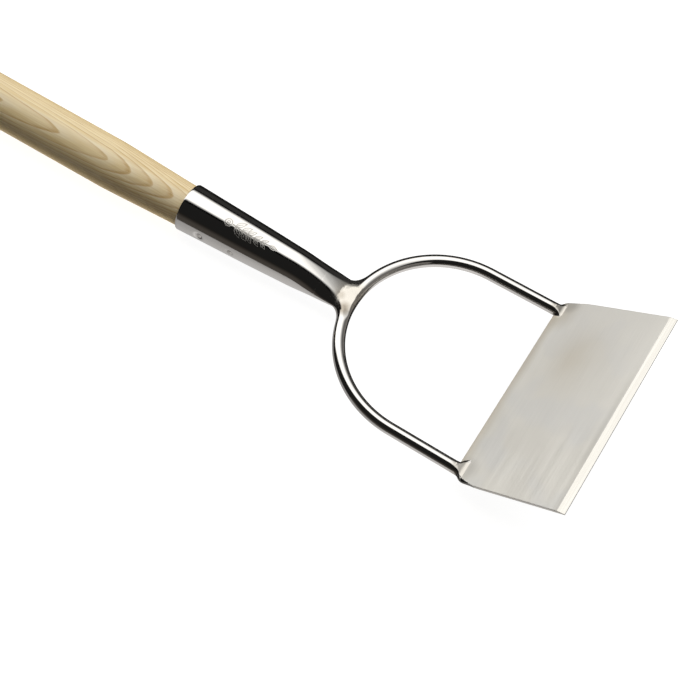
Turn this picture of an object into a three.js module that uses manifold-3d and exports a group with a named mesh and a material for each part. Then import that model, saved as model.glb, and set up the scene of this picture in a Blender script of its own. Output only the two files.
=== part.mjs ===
// Dutch hoe with a stirrup-shaped yoke, millimetres, +Z up.
//
// The hoe lies on its shaft. +X runs along the shaft towards the blade, +Y is
// the hoe's left side seen from the user, +Z is the side that faces the user.
// The origin is at the bottom centre of the whole tool. Inside the group the
// working frame has its X zero at the centre of the yoke's half circle and its
// Z zero on the shaft's axis.
//
// A steel socket is drawn down from a round mouth and its far end is pressed
// flat. A round bar, bent to a half circle with two straight arms, is welded
// across the pressed end. The two ends of the bar are slotted, take the back
// edge of a flat blade and run on a little way under it. The ash shaft tapers
// to a tenon that fills the socket, and two cross rivets hold it there.

import * as THREE from 'three';
import { mergeVertices } from 'three/addons/utils/BufferGeometryUtils.js';
import Module from 'manifold-3d';

const wasm = await Module();
wasm.setup();

// ---------------------------------------------------------------- dimensions
const GAP = 0.3;                 // clearance kept between neighbouring solids

const SHAFT_D = 32.5;            // parallel part of the shaft
const SHAFT_OUT = 1300;          // shaft length outside the socket
const SHAFT_TAPER = 57;          // length of the taper behind the mouth
const SHAFT_D_AT_MOUTH = 27.8;
const BUTT_ROUND = 9;            // edge rounding of the butt end

const SOCKET_L = 121.2;          // mouth to the bar's centre line
const SOCKET_WALL = 1.5;
const SOCKET_OD = [              // [distance from the mouth, outside diameter]
  [0, 31.4], [13, 30.4], [26, 29.5], [39, 28.5], [52, 27.4], [65, 26.3],
  [78, 25.1], [84, 24.45], [90, 24.05], [97, 23.8], [103, 23.7], [109, 23.85], [114.6, 24.2]];
const SOCKET_END = 114.6;        // the pressed end stops short of the bar
const PRESS_FROM = 80;           // where the pressing starts
const PRESS_HALF_H = 5.0;        // half height of the pressed end
const CAVITY_END = 84;           // depth of the socket's inside
const TENON_END = 79;            // depth of the shaft in the socket

const RIVET_R = 2.0;
const RIVET_AT = [17.0, 39.4];   // distance of each rivet from the mouth
const RIVET_PROUD = 0.25;

const BAR_D = 8.0;
const YOKE_R = 64.0;             // half circle, to the bar's centre line
const ARM_L = 45.1;              // centre of the half circle to the blade's back edge
const ARM_FLARE = 0.6;           // each arm leans out by this much over ARM_L
const TAIL_FROM = 50.0;          // where the bar starts to bend under the blade
const TAIL_BEND_R = 10;
const TAIL_L = 6;                // straight run under the blade

const BLADE_TILT = 30.5 * Math.PI / 180;
const BLADE_L = 78.0;
const BLADE_BACK_W = 146.2;
const BLADE_FRONT_W = 150.0;
const BLADE_T = 2.0;
const BLADE_CORNER_R = 5.5;      // rounding of the two back corners
const BLADE_BACK_Z = 0.2;        // height of the back edge's top over the bar's centre
const BEVEL_L = 4.0;             // ground bevel on the top face
const EDGE_T = 0.5;              // what the bevel leaves at the cutting edge

const WELD_X = 4.6, WELD_Y = 9.6, WELD_Z = 5.4;   // half sizes of a corner fillet
const NECK_H = 4.4;                               // half height of the neck fillet

// ------------------------------------------------------------------- helpers
const MOUTH_X = -(YOKE_R + SOCKET_L);
const BUTT_X = MOUTH_X - SHAFT_OUT;
const FRONT_X = ARM_L + BLADE_L * Math.cos(BLADE_TILT) + BLADE_T * Math.sin(BLADE_TILT);

function lerpTable(table, s) {
  if (s <= table[0][0]) return table[0][1];
  for (let i = 1; i < table.length; i++) {
    if (s <= table[i][0]) {
      const [a, va] = table[i - 1], [b, vb] = table[i];
      return va + (vb - va) * (s - a) / (b - a);
    }
  }
  return table[table.length - 1][1];
}
const smooth = (t) => { t = Math.min(1, Math.max(0, t)); return t * t * (3 - 2 * t); };
const socketR = (s) => lerpTable(SOCKET_OD, s) / 2;
const socketHalfHeight = (s) => {
  const r = socketR(s);
  return r + (PRESS_HALF_H - r) * smooth((s - PRESS_FROM) / (SOCKET_END - PRESS_FROM));
};

// a closed three.js geometry as a manifold solid
function solid(geometry) {
  let g = geometry.clone();
  g.deleteAttribute('normal');
  g.deleteAttribute('uv');
  g = mergeVertices(g, 1e-4);
  const tri = [];
  const idx = g.index.array;
  for (let i = 0; i < idx.length; i += 3) {
    const [a, b, c] = [idx[i], idx[i + 1], idx[i + 2]];
    if (a !== b && b !== c && a !== c) tri.push(a, b, c);
  }
  return new wasm.Manifold(new wasm.Mesh({
    numProp: 3,
    vertProperties: new Float32Array(g.attributes.position.array),
    triVerts: new Uint32Array(tri),
  }));
}
function geometryOf(manifold) {
  const m = manifold.getMesh();
  const g = new THREE.BufferGeometry();
  const p = new Float32Array(m.numVert * 3);
  for (let i = 0; i < m.numVert; i++) {
    for (let k = 0; k < 3; k++) p[3 * i + k] = m.vertProperties[m.numProp * i + k];
  }
  g.setAttribute('position', new THREE.BufferAttribute(p, 3));
  g.setIndex(Array.from(m.triVerts));
  g.computeVertexNormals();
  return g;
}
// a solid of revolution about the X axis from [x, r] points along +X
function turned(points, segments) {
  const g = new THREE.LatheGeometry(points.map(([x, r]) => new THREE.Vector2(r, x)), segments);
  g.rotateZ(-Math.PI / 2);       // lathe axis +Y becomes +X
  g.rotateX(Math.PI / 2);
  return g;
}
function crossPin(r, halfLength, dome, x) {
  const pts = [[-halfLength, 0], [-halfLength, r * 0.35], [-halfLength + dome, r * 0.86], [-halfLength + dome * 2.4, r],
    [halfLength - dome * 2.4, r], [halfLength - dome, r * 0.86], [halfLength, r * 0.35], [halfLength, 0]];
  const g = turned(pts, 20);
  g.rotateZ(Math.PI / 2);        // along Y
  g.translate(x, 0, 0);
  return g;
}

// --------------------------------------------------------------------- shaft
const shaftR = SHAFT_D / 2;
const tenonR = (s) => socketR(s) - SOCKET_WALL - GAP;
const shaftProfile = [[BUTT_X, 0], [BUTT_X, shaftR - BUTT_ROUND]];
for (let i = 1; i <= 5; i++) {
  const a = i / 5 * Math.PI / 2;
  shaftProfile.push([BUTT_X + BUTT_ROUND * (1 - Math.cos(a)), shaftR - BUTT_ROUND * (1 - Math.sin(a))]);
}
shaftProfile.push([MOUTH_X - SHAFT_TAPER, shaftR]);
for (let i = 1; i <= 4; i++) {
  const t = i / 4;
  const r = shaftR + (SHAFT_D_AT_MOUTH / 2 - shaftR) * (0.85 * t + 0.15 * t * t);
  shaftProfile.push([MOUTH_X - SHAFT_TAPER * (1 - t), r]);
}
for (const s of [13, 26, 52, TENON_END - 2]) shaftProfile.push([MOUTH_X + s, tenonR(s)]);
shaftProfile.push([MOUTH_X + TENON_END, tenonR(TENON_END) - 1.5], [MOUTH_X + TENON_END, 0]);
let shaft = solid(turned(shaftProfile, 40));

// -------------------------------------------------------------------- socket
// turned as a round taper, then its far end is pressed flat
const socketProfile = [];
for (const [s, d] of SOCKET_OD) socketProfile.push([MOUTH_X + s, d / 2]);
socketProfile.splice(0, 1, [MOUTH_X, socketR(0) - 0.5], [MOUTH_X + 0.5, socketR(0.5)]);
socketProfile.push([MOUTH_X + SOCKET_END, 0]);
const cavityProfile = [[MOUTH_X - 1, 0], [MOUTH_X - 1, socketR(0) - SOCKET_WALL]];
for (const s of [0, 13, 26, 52, CAVITY_END - 4]) cavityProfile.push([MOUTH_X + s, socketR(s) - SOCKET_WALL]);
cavityProfile.push([MOUTH_X + CAVITY_END, 6], [MOUTH_X + CAVITY_END, 0]);
const socketOuterGeometry = turned([[MOUTH_X, 0], ...socketProfile], 40);
{
  const p = socketOuterGeometry.attributes.position;
  for (let i = 0; i < p.count; i++) {
    const s = p.getX(i) - MOUTH_X;
    if (s > PRESS_FROM) p.setZ(i, p.getZ(i) * socketHalfHeight(s) / socketR(s));
  }
}
const socketOuter = solid(socketOuterGeometry);
let socket = socketOuter.subtract(solid(turned(cavityProfile, 40)));

// -------------------------------------------------------------------- rivets
const rivets = RIVET_AT.map((s) => crossPin(RIVET_R, socketR(s) + RIVET_PROUD, 0.35, MOUTH_X + s));
for (const s of RIVET_AT) {
  const hole = solid(crossPin(RIVET_R + GAP, socketR(s) + 6, 0.35, MOUTH_X + s));
  shaft = shaft.subtract(hole);
  socket = socket.subtract(hole);
}

// --------------------------------------------------------------- stirrup bar
class YokePath extends THREE.Curve {
  constructor() {
    super();
    const flare = Math.atan2(ARM_FLARE, ARM_L);
    this.arc = Math.PI * YOKE_R / 2;
    this.arm = TAIL_FROM / Math.cos(flare);
    this.bend = TAIL_BEND_R * BLADE_TILT;
    this.half = this.arc + this.arm + this.bend + TAIL_L;
    this.flare = flare;
  }
  halfPoint(d) {                 // distance from the middle of the arc, side +Y
    if (d <= this.arc) {
      const a = Math.PI - d / YOKE_R;
      return [YOKE_R * Math.cos(a), YOKE_R * Math.sin(a), 0];
    }
    d -= this.arc;
    const y = (e) => YOKE_R + Math.sin(this.flare) * e;
    if (d <= this.arm) return [d * Math.cos(this.flare), y(d), 0];
    const e = d; d -= this.arm;
    if (d <= this.bend) {
      const a = d / TAIL_BEND_R;
      return [TAIL_FROM + TAIL_BEND_R * Math.sin(a), y(e), TAIL_BEND_R * (1 - Math.cos(a))];
    }
    d -= this.bend;
    const a = BLADE_TILT;
    return [TAIL_FROM + TAIL_BEND_R * Math.sin(a) + d * Math.cos(a), y(e),
      TAIL_BEND_R * (1 - Math.cos(a)) + d * Math.sin(a)];
  }
  getPoint(t, target = new THREE.Vector3()) {
    const d = (2 * t - 1) * this.half;
    const [x, y, z] = this.halfPoint(Math.abs(d));
    return target.set(x, d < 0 ? -y : y, z);
  }
}
function barAlongYoke(r, steps, sides) {
  const section = new THREE.Shape();
  for (let i = 0; i < sides; i++) {
    const a = (i + 0.5) / sides * Math.PI * 2;
    if (i === 0) section.moveTo(r * Math.cos(a), r * Math.sin(a));
    else section.lineTo(r * Math.cos(a), r * Math.sin(a));
  }
  section.closePath();
  return new THREE.ExtrudeGeometry(section, { steps, bevelEnabled: false, extrudePath: new YokePath(), curveSegments: 1 });
}

// --------------------------------------------------------------------- blade
// plan outline in the blade's own frame: u from the back edge to the cutting
// edge, v across; top face at w = 0
function bladeOutline(grow) {
  const s = new THREE.Shape();
  const hb = BLADE_BACK_W / 2 + grow, hf = BLADE_FRONT_W / 2 + grow;
  const r = BLADE_CORNER_R;
  s.moveTo(-grow + r, -hb);
  s.lineTo(BLADE_L + grow, -hf);
  s.lineTo(BLADE_L + grow, hf);
  s.lineTo(-grow + r, hb);
  s.absarc(-grow + r, hb - r, r, Math.PI / 2, Math.PI, false);
  s.absarc(-grow + r, -hb + r, r, Math.PI, Math.PI * 1.5, false);
  return s;
}
function bladePlate(grow) {
  const g = new THREE.ExtrudeGeometry(bladeOutline(grow), {
    depth: BLADE_T + 2 * grow, bevelEnabled: false, curveSegments: 6 });
  g.translate(0, 0, -BLADE_T - grow);
  return g;
}
const bevelShape = new THREE.Shape([
  new THREE.Vector2(BLADE_L - BEVEL_L, 0), new THREE.Vector2(BLADE_L + 1, -(BLADE_T - EDGE_T) * (BEVEL_L + 1) / BEVEL_L),
  new THREE.Vector2(BLADE_L + 1, 2), new THREE.Vector2(BLADE_L - BEVEL_L, 2)]);
const bevelCutter = new THREE.ExtrudeGeometry(bevelShape, { depth: BLADE_FRONT_W + 20, bevelEnabled: false });
bevelCutter.rotateX(Math.PI / 2);
bevelCutter.translate(0, BLADE_FRONT_W / 2 + 10, 0);
const blade = solid(bladePlate(0)).subtract(solid(bevelCutter));
const bladePlace = new THREE.Matrix4().makeRotationY(-BLADE_TILT).setPosition(ARM_L, 0, BLADE_BACK_Z);

// the slots in the bar's ends leave room for the blade
const bladeRoom = solid(bladePlate(GAP).applyMatrix4(bladePlace));
const bar = solid(barAlongYoke(BAR_D / 2, 116, 14)).subtract(bladeRoom);
const barRoom = solid(barAlongYoke(BAR_D / 2 + GAP + 0.1, 116, 14));

// --------------------------------------------------------------------- welds
// neck: fills the joint between the pressed socket end and the bar, and flares
// onto the bar on both sides
const neckPlan = new THREE.Shape();
{
  const side = (sign) => {
    const pts = [];
    for (let i = 0; i <= 8; i++) {
      const t = i / 8;                             // socket side to bar
      const x = -76.0 + 11.0 * (1 - (1 - t) * (1 - t) * 0.35 - (1 - t) * 0.65);
      const y = 12.05 + 9.2 * Math.pow(t, 2.6);
      pts.push([x, sign * y]);
    }
    return pts;
  };
  const a = side(1), b = side(-1).reverse();
  neckPlan.moveTo(a[0][0], a[0][1]);
  for (const [x, y] of [...a.slice(1), ...b]) neckPlan.lineTo(x, y);
  neckPlan.closePath();
}
const neckBlank = new THREE.ExtrudeGeometry(neckPlan, { depth: 2 * NECK_H, bevelEnabled: false });
neckBlank.translate(0, 0, -NECK_H);
const socketRoomGeometry = turned([[MOUTH_X, 0], ...SOCKET_OD.map(([s, d]) => [MOUTH_X + s, d / 2 + GAP]),
  [MOUTH_X + SOCKET_END + GAP, SOCKET_OD.at(-1)[1] / 2 + GAP], [MOUTH_X + SOCKET_END + GAP, 0]], 40);
{
  const p = socketRoomGeometry.attributes.position;
  for (let i = 0; i < p.count; i++) {
    const s = Math.min(SOCKET_END, p.getX(i) - MOUTH_X);
    if (s > PRESS_FROM) p.setZ(i, p.getZ(i) * (socketHalfHeight(s) + GAP) / (socketR(s) + GAP));
  }
}
const weldNeck = solid(neckBlank).subtract(solid(socketRoomGeometry)).subtract(barRoom);

// corners: a rounded fillet round the bar where it meets the blade's back edge
function cornerWeld(sign) {
  const g = new THREE.SphereGeometry(1, 20, 12);
  g.scale(WELD_X, WELD_Y, WELD_Z);
  g.translate(ARM_L - 0.6, sign * (YOKE_R - 0.6), 0);
  const behind = new THREE.BoxGeometry(20, 40, 30);
  behind.translate(ARM_L - 0.45 - 10, sign * YOKE_R, 0);
  return solid(g).intersect(solid(behind)).subtract(barRoom).subtract(bladeRoom);
}

// ---------------------------------------------------------------- the object
const finish = {
  ash: { color: 0xd9c49b, roughness: 0.55, metalness: 0 },
  polished: { color: 0xc9c7c2, roughness: 0.08, metalness: 1 },
  rivet: { color: 0xbdb9b2, roughness: 0.18, metalness: 1 },
  satin: { color: 0xc8c5bd, roughness: 0.38, metalness: 1 },
};
function part(name, geometry, look) {
  const m = new THREE.Mesh(geometry, new THREE.MeshStandardMaterial(finish[look]));
  m.name = name;
  return m;
}

const bladeMesh = part('blade', geometryOf(blade), 'satin');
bladeMesh.rotation.y = -BLADE_TILT;
bladeMesh.position.set(ARM_L, 0, BLADE_BACK_Z);

const head = new THREE.Group();
head.add(
  part('socket', geometryOf(socket), 'polished'),
  part('rivet_rear', rivets[0], 'rivet'),
  part('rivet_front', rivets[1], 'rivet'),
  part('stirrup_bar', geometryOf(bar), 'polished'),
  part('weld_neck', geometryOf(weldNeck), 'polished'),
  part('weld_left', geometryOf(cornerWeld(1)), 'polished'),
  part('weld_right', geometryOf(cornerWeld(-1)), 'polished'),
  bladeMesh,
);

const group = new THREE.Group();
group.add(head, part('shaft', geometryOf(shaft), 'ash'));
group.position.set(-(BUTT_X + FRONT_X) / 2, 0, SHAFT_D / 2);

export default group;
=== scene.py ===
import math

import bpy
import numpy as np
from mathutils import Matrix, Vector


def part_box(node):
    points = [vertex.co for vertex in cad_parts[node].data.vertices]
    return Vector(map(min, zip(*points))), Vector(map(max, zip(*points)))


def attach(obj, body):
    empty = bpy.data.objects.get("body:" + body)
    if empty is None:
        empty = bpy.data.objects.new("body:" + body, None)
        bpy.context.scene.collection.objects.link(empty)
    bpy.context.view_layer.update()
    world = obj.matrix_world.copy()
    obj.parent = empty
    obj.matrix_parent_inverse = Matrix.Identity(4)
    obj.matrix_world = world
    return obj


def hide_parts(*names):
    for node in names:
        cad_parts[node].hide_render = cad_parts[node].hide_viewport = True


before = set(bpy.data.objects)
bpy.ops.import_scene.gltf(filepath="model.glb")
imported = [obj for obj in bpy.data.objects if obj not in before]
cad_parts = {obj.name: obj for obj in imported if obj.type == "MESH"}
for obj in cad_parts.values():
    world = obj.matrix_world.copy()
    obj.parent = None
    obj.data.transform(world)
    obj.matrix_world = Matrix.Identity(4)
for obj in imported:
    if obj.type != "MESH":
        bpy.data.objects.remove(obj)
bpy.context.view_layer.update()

# ------------------------------------------------------------------ the frame
# All shapes below are in millimetres in the hoe's working frame: X zero at the
# centre of the yoke's half circle, Z zero on the shaft's axis, +X towards the
# blade. at() moves them to the row frame in metres, from the CAD boxes.
SOCKET_L = 121.2
YOKE_R = 64.0
_s_lo, _s_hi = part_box("socket")
_h_lo, _h_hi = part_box("shaft")
X0 = _s_lo.x * 1000 + YOKE_R + SOCKET_L
Z0 = (_h_lo.z + _h_hi.z) * 500
MOUTH = -(YOKE_R + SOCKET_L)
BUTT = _h_lo.x * 1000 - X0


def at(p):
    p = np.asarray(p, float)
    return (p + np.array([X0, 0.0, Z0])) / 1000.0


TILT = math.radians(30.5)
ARM_L, BACK_Z = 45.1, 0.2
BU = np.array([math.cos(TILT), 0, math.sin(TILT)])     # along the blade
BN = np.array([-math.sin(TILT), 0, math.cos(TILT)])    # up out of the blade
BO = np.array([ARM_L, 0, BACK_Z])

# --------------------------------------------------------------------- camera
cam = bpy.data.cameras.new("camera")
cam_o = bpy.data.objects.new("camera", cam)
bpy.context.scene.collection.objects.link(cam_o)
right = Vector((0.8550069, 0.5105715, 0.0909936))
up = Vector((-0.4864151, 0.7286170, 0.4822009))
back = right.cross(up).normalized()
cam_o.matrix_world = Matrix.Translation(Vector(at([127.3386, -475.4842, 847.1754]))) @ Matrix((
    (right.x, up.x, back.x, 0), (right.y, up.y, back.y, 0), (right.z, up.z, back.z, 0), (0, 0, 0, 1)))
cam.sensor_width = 36.0
cam.lens = 82.739
cam.clip_start = 0.01
cam.clip_end = 100.0
cam.dof.use_dof = False
bpy.context.scene.camera = cam_o


# ---------------------------------------------------------------- mesh makers
def mesh_object(name, verts, faces, smooth=True, normals=None):
    me = bpy.data.meshes.new(name)
    me.from_pydata([tuple(v) for v in at(verts)], [], [tuple(int(i) for i in f) for f in faces])
    me.update()
    if smooth:
        me.polygons.foreach_set("use_smooth", [True] * len(me.polygons))
    if normals is not None:
        me.normals_split_custom_set_from_vertices([tuple(n) for n in normals])
    o = bpy.data.objects.new(name, me)
    bpy.context.scene.collection.objects.link(o)
    return o


def sharp_by_angle(o, degrees):
    o.data.set_sharp_from_angle(angle=math.radians(degrees))


def outward(o):
    import bmesh
    bm = bmesh.new()
    bm.from_mesh(o.data)
    bmesh.ops.recalc_face_normals(bm, faces=bm.faces)
    bm.to_mesh(o.data)
    bm.free()


def rings_to_faces(nr, ns, closed=True, cap0=True, cap1=True):
    """nr rings of ns points, joined into quads, with an n-gon on each end"""
    faces = []
    for i in range(nr - 1):
        a, b = i * ns, (i + 1) * ns
        for j in range(ns):
            k = (j + 1) % ns
            faces.append((a + j, a + k, b + k, b + j))
    if cap0:
        faces.append(tuple(range(ns - 1, -1, -1)))
    if cap1:
        faces.append(tuple((nr - 1) * ns + j for j in range(ns)))
    return faces


def iso_mesh(f, lo, hi, h, relax=3):
    """closed surface of f = 0 inside the box, as quads whose corners lie on it"""
    lo, hi = np.array(lo, float), np.array(hi, float)
    n = np.maximum(4, np.ceil((hi - lo) / h).astype(int)) + 1
    ax = [lo[k] + h * np.arange(n[k]) for k in range(3)]
    V = np.empty(n)
    for i in range(n[0]):
        Y, Z = np.meshgrid(ax[1], ax[2], indexing="ij")
        P = np.stack([np.full(Y.shape, ax[0][i]), Y, Z], -1)
        V[i] = f(P.reshape(-1, 3)).reshape(Y.shape)
    ins = V < 0
    c = n - 1
    acc = np.zeros((c[0], c[1], c[2], 3))
    cnt = np.zeros((c[0], c[1], c[2]))
    G = np.stack(np.meshgrid(*ax, indexing="ij"), -1)
    quads = []
    for k in range(3):
        sl0 = [slice(None)] * 3
        sl1 = [slice(None)] * 3
        sl0[k], sl1[k] = slice(0, -1), slice(1, None)
        a, b = V[tuple(sl0)], V[tuple(sl1)]
        cross = ins[tuple(sl0)] != ins[tuple(sl1)]
        t = np.where(cross, a / np.where(cross, a - b, 1), 0)
        idx = np.argwhere(cross)
        p = G[tuple(sl0)][cross].copy()
        p[:, k] += t[cross] * h
        o1, o2 = [q for q in range(3) if q != k]
        cells = []
        for d1, d2 in ((-1, -1), (0, -1), (0, 0), (-1, 0)):
            cc = idx.copy()
            cc[:, o1] += d1
            cc[:, o2] += d2
            cells.append(cc)
            np.add.at(acc, tuple(cc.T), p)
            np.add.at(cnt, tuple(cc.T), 1)
        flip = ins[tuple(sl0)][cross]
        if k == 1:
            flip = ~flip
        quads.append((cells, flip))
    used = cnt > 0
    number = -np.ones(cnt.shape, int)
    number[used] = np.arange(used.sum())
    verts = acc[used] / cnt[used][:, None]
    faces = []
    for cells, flip in quads:
        q = np.stack([number[tuple(cc.T)] for cc in cells], 1)
        q = np.where(flip[:, None], q, q[:, ::-1])
        faces.append(q)
    faces = np.concatenate(faces)

    def grad(P, e=0.01):
        g = np.empty_like(P)
        for k in range(3):
            d = np.zeros(3)
            d[k] = e
            g[:, k] = (f(P + d) - f(P - d)) / (2 * e)
        return g

    def project(P, steps):
        for _ in range(steps):
            g = grad(P)
            m = np.maximum((g * g).sum(1), 0.05)
            s = (f(P) / m)[:, None] * g
            ln = np.linalg.norm(s, axis=1, keepdims=True)
            P = P - s * np.minimum(1, 0.6 * h / np.maximum(ln, 1e-9))
        return P

    verts = project(verts, 3)
    e = np.concatenate([faces[:, [0, 1]], faces[:, [1, 2]], faces[:, [2, 3]], faces[:, [3, 0]]])
    for _ in range(relax):
        s = np.zeros_like(verts)
        m = np.zeros(len(verts))
        for i, j in ((0, 1), (1, 0)):
            np.add.at(s, e[:, i], verts[e[:, j]])
            np.add.at(m, e[:, i], 1)
        verts = 0.5 * verts + 0.5 * s / m[:, None]
        verts = project(verts, 2)
    g = grad(verts)
    normals = g / np.maximum(np.linalg.norm(g, axis=1, keepdims=True), 1e-9)
    return verts, faces, normals


def smin(a, b, k):
    h = np.maximum(k - np.abs(a - b), 0) / k
    return np.minimum(a, b) - h * h * k * 0.25


def smax(a, b, k):
    return -smin(-a, -b, k)


# --------------------------------------------------------- shapes as functions
OD = np.array([[0, 31.4], [13, 30.4], [26, 29.5], [39, 28.5], [52, 27.4], [65, 26.3], [78, 25.1],
               [84, 24.45], [90, 24.05], [97, 23.8], [103, 23.7], [109, 23.75], [114.6, 23.85], [121, 24.0]])
_fit = np.polynomial.Polynomial.fit(OD[:, 0], OD[:, 1], 6)
PRESS_FROM, PRESS_TO, PRESS_H = 79.0, 113.0, 4.2


def socket_ry(s):
    return _fit(np.clip(s, 0, 122)) / 2


def socket_rz(s):
    r = socket_ry(s)
    t = np.clip((s - PRESS_FROM) / (PRESS_TO - PRESS_FROM), 0, 1)
    return r + (PRESS_H - r) * t ** 1.7


def section(y, z, s):
    """the socket's section: a circle that is pressed into a lens with soft sides"""
    a, b = socket_ry(s), socket_rz(s)
    k = np.clip(7.0 * (1 - b / a), 0.001, 3.6)
    a = a + 0.20 * k
    rho = (a * a + b * b) / (2 * b)
    c = rho - b
    return smax(np.hypot(y, z + c) - rho, np.hypot(y, z - c) - rho, k) - 0.001


def d_socket(P):
    return section(P[:, 1], P[:, 2], P[:, 0] - MOUTH)


BAR_R = 4.0
FLARE = math.atan2(0.6, ARM_L)
TAIL_FROM, TAIL_R, TAIL_L = 50.0, 10.0, 6.0


def bar_line():
    """points and tangents of the left half of the bar's centre line"""
    a = np.linspace(math.pi, math.pi / 2 + FLARE, 140)
    arc = np.stack([YOKE_R * np.cos(a), YOKE_R * np.sin(a), 0 * a], 1)
    p0 = arc[-1]
    d = np.array([math.cos(FLARE), math.sin(FLARE), 0])
    L = (TAIL_FROM - p0[0]) / d[0]
    t = np.linspace(0, L, 60)[1:]
    arm = p0 + d * t[:, None]
    b = np.linspace(0, TILT, 16)[1:]
    q = arm[-1]
    bend = np.stack([q[0] + TAIL_R * np.sin(b) * d[0], q[1] + TAIL_R * np.sin(b) * d[1], TAIL_R * (1 - np.cos(b))], 1)
    e = np.array([d[0] * math.cos(TILT), d[1], math.sin(TILT)])
    tail = bend[-1] + e * np.linspace(0, TAIL_L, 6)[1:, None]
    return np.concatenate([arc, arm, bend, tail])


_arm0 = np.array([YOKE_R * math.cos(math.pi / 2 + FLARE), YOKE_R * math.sin(math.pi / 2 + FLARE), 0])
_armd = np.array([math.cos(FLARE), math.sin(FLARE), 0])


def d_bar(P, r=BAR_R):
    """distance to the round bar, arc and arms, and the tails under the blade"""
    x, y, z = P[:, 0], np.abs(P[:, 1]), P[:, 2]
    ring = np.sqrt((np.sqrt(x * x + y * y) - YOKE_R) ** 2 + z * z)
    Q = np.stack([x, y, z], 1) - _arm0
    along = Q @ _armd
    L = (TAIL_FROM - _arm0[0]) / _armd[0]
    # straight arm
    tt = np.clip(along, 0, L)
    R = Q - _armd * tt[:, None]
    arm = np.sqrt((R * R).sum(1))
    # bend and tail, in the vertical plane of the arm
    lx, lz = along - L, z
    side = (R - 0)[:, 1] * 0 + (Q[:, 1] * _armd[0] - Q[:, 0] * _armd[1])
    ang = np.clip(np.arctan2(lx, TAIL_R - lz), 0, TILT)
    bx, bz = TAIL_R * np.sin(ang), TAIL_R * (1 - np.cos(ang))
    bend = np.sqrt((lx - bx) ** 2 + (lz - bz) ** 2 + side ** 2)
    ex, ez = TAIL_R * math.sin(TILT), TAIL_R * (1 - math.cos(TILT))
    t2 = np.clip((lx - ex) * math.cos(TILT) + (lz - ez) * math.sin(TILT), 0, TAIL_L)
    tail = np.sqrt((lx - ex - t2 * math.cos(TILT)) ** 2 + (lz - ez - t2 * math.sin(TILT)) ** 2 + side ** 2)
    d = np.where(along < 0, ring, np.minimum(arm, np.minimum(bend, tail)))
    return d - r


BLADE_L, BACK_W, FRONT_W, BLADE_T, CORNER_R = 78.0, 146.2, 150.0, 2.0, 5.5


def ease(t):
    t = np.clip(t, 0, 1)
    return t * t * (3 - 2 * t)


def dressed(u):
    """how far the side edge is ground in near the back corner"""
    return 1.25 * (1 - ease(u / 21.0))


def chamfer(u, sign):
    """width of the slope ground along the side edge beside a back corner"""
    t = np.clip((u - 5.0) / 11.5, 0, 1)
    return (0.80 if sign > 0 else 2.10) * (1 - 0.7 * t - 0.3 * ease(t)) + 0.08


def corner_r(sign):
    """rounding of a back corner: the near one is ground back further"""
    return CORNER_R if sign > 0 else 8.0


def d_outline(u, v, inset, r):
    half = BACK_W / 2 + (FRONT_W - BACK_W) / 2 * u / BLADE_L - inset
    qx = r - u
    qy = v - (half - r)
    return np.sqrt(np.maximum(qx, 0) ** 2 + np.maximum(qy, 0) ** 2) + np.minimum(np.maximum(qx, qy), 0) - r


def d_plate(P, sign):
    """the back part of the blade as a slab"""
    Q = P - BO
    u, w, v = Q @ BU, Q @ BN, np.abs(Q[:, 1])
    out = d_outline(u, v, dressed(u) + chamfer(u, sign) + 0.4, corner_r(sign))
    dz = np.abs(w + BLADE_T / 2) - BLADE_T / 2
    return np.sqrt(np.maximum(out, 0) ** 2 + np.maximum(dz, 0) ** 2) + np.minimum(np.maximum(out, dz), 0)


# ------------------------------------------------------------------ materials
def new_material(name):
    m = bpy.data.materials.new(name)
    m.use_nodes = True
    t = m.node_tree
    return m, t, t.nodes["Principled BSDF"]


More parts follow.
